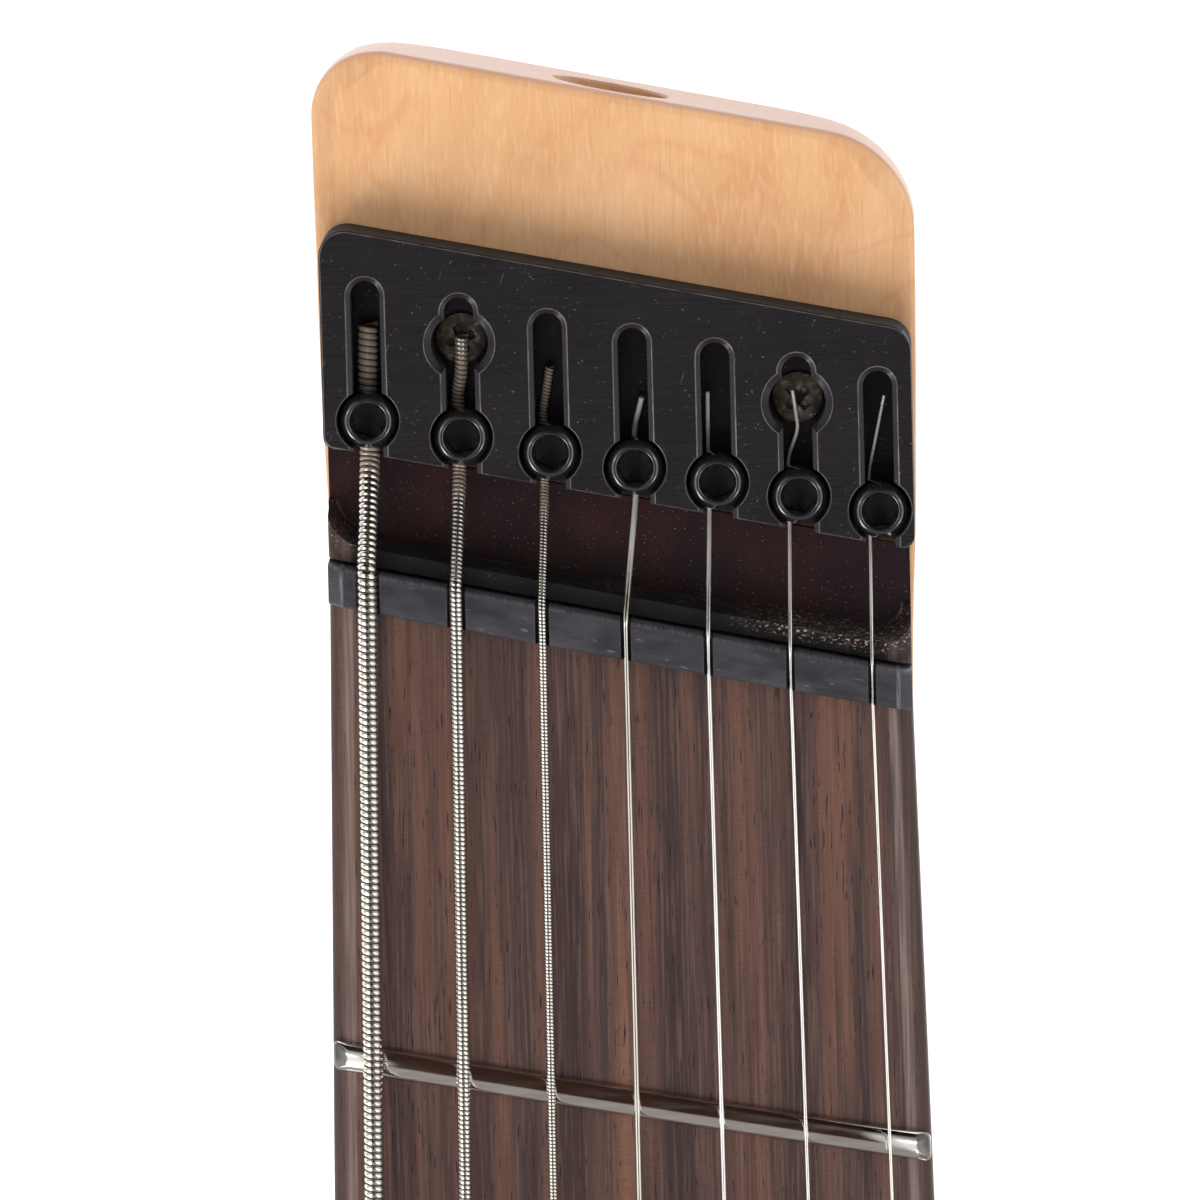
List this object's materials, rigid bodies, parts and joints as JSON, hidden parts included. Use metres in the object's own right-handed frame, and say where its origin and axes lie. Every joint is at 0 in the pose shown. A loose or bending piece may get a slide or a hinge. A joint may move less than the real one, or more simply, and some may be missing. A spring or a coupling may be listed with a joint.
{
  "type": "headless electric guitar",
  "caption": "Headless electric guitar with fanned frets, a string lock plate on the head and a bridge that tunes each string with its own knob.",
  "frame": {"origin": "on the flat back of the body, on the centreline, under the middle of the saddle line", "axes": "+Z out of the front, +Y from the bridge to the head, +X to the treble side"},
  "size_m": [0.3261, 0.8028, 0.0597],
  "materials": {
    "black_metal": "black anodised",
    "black_plastic": "moulded, fine texture",
    "body_wood": "satin stain",
    "maple": "satin, thin open-grain finish",
    "nut_grey": "graphite, polished slots",
    "rod_steel": "plain steel",
    "rosewood": "oiled, open pores, fret wires joined on",
    "screw_steel": "dark bronze",
    "string_steel": "plain and wound nickel-plated steel"
  },
  "bodies": {
    "guitar": {"body": "body_wood", "bridge_base": "black_metal", "bridge_pickup": "black_plastic", "control_cover": "black_plastic", "fretboard": "rosewood", "jack_socket": "black_metal", "neck": "maple", "neck_bolt_1": "black_metal", "neck_bolt_2": "black_metal", "neck_bolt_3": "black_metal", "neck_pickup": "black_plastic", "nut": "nut_grey", "plate_screw_1": "screw_steel", "plate_screw_2": "screw_steel", "strap_button_1": "black_metal", "strap_button_2": "black_metal", "string_1": "string_steel", "string_2": "string_steel", "string_3": "string_steel", "string_4": "string_steel", "string_5": "string_steel", "string_6": "string_steel", "string_7": "string_steel", "string_lock_plate": "black_metal", "switch_body": "black_plastic", "tone_pot": "rod_steel", "truss_rod": "rod_steel", "volume_pot": "rod_steel"},
    "truss_rod_nut": {"truss_rod_nut": "rod_steel"},
    "lock_screw_1": {"lock_screw_1": "black_metal"},
    "lock_screw_2": {"lock_screw_2": "black_metal"},
    "lock_screw_3": {"lock_screw_3": "black_metal"},
    "lock_screw_4": {"lock_screw_4": "black_metal"},
    "lock_screw_5": {"lock_screw_5": "black_metal"},
    "lock_screw_6": {"lock_screw_6": "black_metal"},
    "lock_screw_7": {"lock_screw_7": "black_metal"},
    "saddle_1": {"saddle_1": "black_metal"},
    "saddle_2": {"saddle_2": "black_metal"},
    "saddle_3": {"saddle_3": "black_metal"},
    "saddle_4": {"saddle_4": "black_metal"},
    "saddle_5": {"saddle_5": "black_metal"},
    "saddle_6": {"saddle_6": "black_metal"},
    "saddle_7": {"saddle_7": "black_metal"},
    "tuner_slider_1": {"tuner_slider_1": "black_metal"},
    "tuner_slider_2": {"tuner_slider_2": "black_metal"},
    "tuner_slider_3": {"tuner_slider_3": "black_metal"},
    "tuner_slider_4": {"tuner_slider_4": "black_metal"},
    "tuner_slider_5": {"tuner_slider_5": "black_metal"},
    "tuner_slider_6": {"tuner_slider_6": "black_metal"},
    "tuner_slider_7": {"tuner_slider_7": "black_metal"},
    "tuner_knob_1": {"tuner_knob_1": "black_metal"},
    "tuner_knob_2": {"tuner_knob_2": "black_metal"},
    "tuner_knob_3": {"tuner_knob_3": "black_metal"},
    "tuner_knob_4": {"tuner_knob_4": "black_metal"},
    "tuner_knob_5": {"tuner_knob_5": "black_metal"},
    "tuner_knob_6": {"tuner_knob_6": "black_metal"},
    "tuner_knob_7": {"tuner_knob_7": "black_metal"},
    "volume_knob": {"volume_knob": "black_metal"},
    "tone_knob": {"tone_knob": "black_metal"},
    "switch_lever": {"switch_lever": "black_metal"}
  },
  "joints": [
    {"name": "truss_rod_turn", "type": "hinge", "parent": "guitar", "child": "truss_rod_nut", "pos_m": [0, 0.66905, 0.0383], "axis": [0, 1, 0], "range_deg": [-180, 180]},
    {"name": "lock_screw_1_turn", "type": "hinge", "parent": "guitar", "child": "lock_screw_1", "pos_m": [-0.0202, 0.67652, 0.0495], "axis": [0, 0, 1], "range_deg": [0, 1080]},
    {"name": "lock_screw_2_turn", "type": "hinge", "parent": "guitar", "child": "lock_screw_2", "pos_m": [-0.01263, 0.67501, 0.0495], "axis": [0, 0, 1], "range_deg": [0, 1080]},
    {"name": "lock_screw_3_turn", "type": "hinge", "parent": "guitar", "child": "lock_screw_3", "pos_m": [-0.00546, 0.67359, 0.0495], "axis": [0, 0, 1], "range_deg": [0, 1080]},
    {"name": "lock_screw_4_turn", "type": "hinge", "parent": "guitar", "child": "lock_screw_4", "pos_m": [0.00144, 0.67221, 0.0495], "axis": [0, 0, 1], "range_deg": [0, 1080]},
    {"name": "lock_screw_5_turn", "type": "hinge", "parent": "guitar", "child": "lock_screw_5", "pos_m": [0.00819, 0.67087, 0.0495], "axis": [0, 0, 1], "range_deg": [0, 1080]},
    {"name": "lock_screw_6_turn", "type": "hinge", "parent": "guitar", "child": "lock_screw_6", "pos_m": [0.01487, 0.66954, 0.0495], "axis": [0, 0, 1], "range_deg": [0, 1080]},
    {"name": "lock_screw_7_turn", "type": "hinge", "parent": "guitar", "child": "lock_screw_7", "pos_m": [0.0215, 0.66822, 0.0495], "axis": [0, 0, 1], "range_deg": [0, 1080]},
    {"name": "saddle_1_slide", "type": "slide", "parent": "guitar", "child": "saddle_1", "axis": [0, 1, 0], "range_m": [-0.0035, 0.004], "deforming": ["string_1"]},
    {"name": "saddle_2_slide", "type": "slide", "parent": "guitar", "child": "saddle_2", "axis": [0, 1, 0], "range_m": [-0.0035, 0.004], "deforming": ["string_2"]},
    {"name": "saddle_3_slide", "type": "slide", "parent": "guitar", "child": "saddle_3", "axis": [0, 1, 0], "range_m": [-0.0035, 0.004], "deforming": ["string_3"]},
    {"name": "saddle_4_slide", "type": "slide", "parent": "guitar", "child": "saddle_4", "axis": [0, 1, 0], "range_m": [-0.0035, 0.004], "deforming": ["string_4"]},
    {"name": "saddle_5_slide", "type": "slide", "parent": "guitar", "child": "saddle_5", "axis": [0, 1, 0], "range_m": [-0.0035, 0.004], "deforming": ["string_5"]},
    {"name": "saddle_6_slide", "type": "slide", "parent": "guitar", "child": "saddle_6", "axis": [0, 1, 0], "range_m": [-0.0035, 0.004], "deforming": ["string_6"]},
    {"name": "saddle_7_slide", "type": "slide", "parent": "guitar", "child": "saddle_7", "axis": [0, 1, 0], "range_m": [-0.0035, 0.004], "deforming": ["string_7"]},
    {"name": "tuner_1_turn", "type": "hinge", "parent": "guitar", "child": "tuner_knob_1", "pos_m": [-0.0312, -0.00425, 0.0493], "axis": [0, 1, 0], "range_deg": [-1285, 3857]},
    {"name": "tuner_1_slide", "type": "slide", "parent": "guitar", "child": "tuner_slider_1", "axis": [0, -1, 0], "range_m": [-0.0025, 0.0075], "deforming": ["string_1"]},
    {"name": "tuner_2_turn", "type": "hinge", "parent": "guitar", "child": "tuner_knob_2", "pos_m": [-0.0208, -0.00283, 0.0493], "axis": [0, 1, 0], "range_deg": [-1285, 3857]},
    {"name": "tuner_2_slide", "type": "slide", "parent": "guitar", "child": "tuner_slider_2", "axis": [0, -1, 0], "range_m": [-0.0025, 0.0075], "deforming": ["string_2"]},
    {"name": "tuner_3_turn", "type": "hinge", "parent": "guitar", "child": "tuner_knob_3", "pos_m": [-0.0104, -0.00142, 0.0493], "axis": [0, 1, 0], "range_deg": [-1285, 3857]},
    {"name": "tuner_3_slide", "type": "slide", "parent": "guitar", "child": "tuner_slider_3", "axis": [0, -1, 0], "range_m": [-0.0025, 0.0075], "deforming": ["string_3"]},
    {"name": "tuner_4_turn", "type": "hinge", "parent": "guitar", "child": "tuner_knob_4", "pos_m": [0, 0, 0.0493], "axis": [0, 1, 0], "range_deg": [-1285, 3857]},
    {"name": "tuner_4_slide", "type": "slide", "parent": "guitar", "child": "tuner_slider_4", "axis": [0, -1, 0], "range_m": [-0.0025, 0.0075], "deforming": ["string_4"]},
    {"name": "tuner_5_turn", "type": "hinge", "parent": "guitar", "child": "tuner_knob_5", "pos_m": [0.0104, 0.00142, 0.0493], "axis": [0, 1, 0], "range_deg": [-1285, 3857]},
    {"name": "tuner_5_slide", "type": "slide", "parent": "guitar", "child": "tuner_slider_5", "axis": [0, -1, 0], "range_m": [-0.0025, 0.0075], "deforming": ["string_5"]},
    {"name": "tuner_6_turn", "type": "hinge", "parent": "guitar", "child": "tuner_knob_6", "pos_m": [0.0208, 0.00283, 0.0493], "axis": [0, 1, 0], "range_deg": [-1285, 3857]},
    {"name": "tuner_6_slide", "type": "slide", "parent": "guitar", "child": "tuner_slider_6", "axis": [0, -1, 0], "range_m": [-0.0025, 0.0075], "deforming": ["string_6"]},
    {"name": "tuner_7_turn", "type": "hinge", "parent": "guitar", "child": "tuner_knob_7", "pos_m": [0.0312, 0.00425, 0.0493], "axis": [0, 1, 0], "range_deg": [-1285, 3857]},
    {"name": "tuner_7_slide", "type": "slide", "parent": "guitar", "child": "tuner_slider_7", "axis": [0, -1, 0], "range_m": [-0.0025, 0.0075], "deforming": ["string_7"]},
    {"name": "volume_turn", "type": "hinge", "parent": "guitar", "child": "volume_knob", "pos_m": [0.096, 0.022, 0.042], "axis": [0, 0, -1], "range_deg": [-135, 135]},
    {"name": "tone_turn", "type": "hinge", "parent": "guitar", "child": "tone_knob", "pos_m": [0.1, -0.022, 0.042], "axis": [0, 0, -1], "range_deg": [-135, 135]},
    {"name": "switch_tilt", "type": "hinge", "parent": "guitar", "child": "switch_lever", "pos_m": [0.094, 0.062, 0.04], "axis": [1, 0, 0], "range_deg": [-14, 14]}
  ],
  "couplings": [
    {"joint": "tuner_1_slide", "follows": "tuner_1_turn", "m_per_rad": 0.00011141},
    {"joint": "tuner_2_slide", "follows": "tuner_2_turn", "m_per_rad": 0.00011141},
    {"joint": "tuner_3_slide", "follows": "tuner_3_turn", "m_per_rad": 0.00011141},
    {"joint": "tuner_4_slide", "follows": "tuner_4_turn", "m_per_rad": 0.00011141},
    {"joint": "tuner_5_slide", "follows": "tuner_5_turn", "m_per_rad": 0.00011141},
    {"joint": "tuner_6_slide", "follows": "tuner_6_turn", "m_per_rad": 0.00011141},
    {"joint": "tuner_7_slide", "follows": "tuner_7_turn", "m_per_rad": 0.00011141}
  ]
}
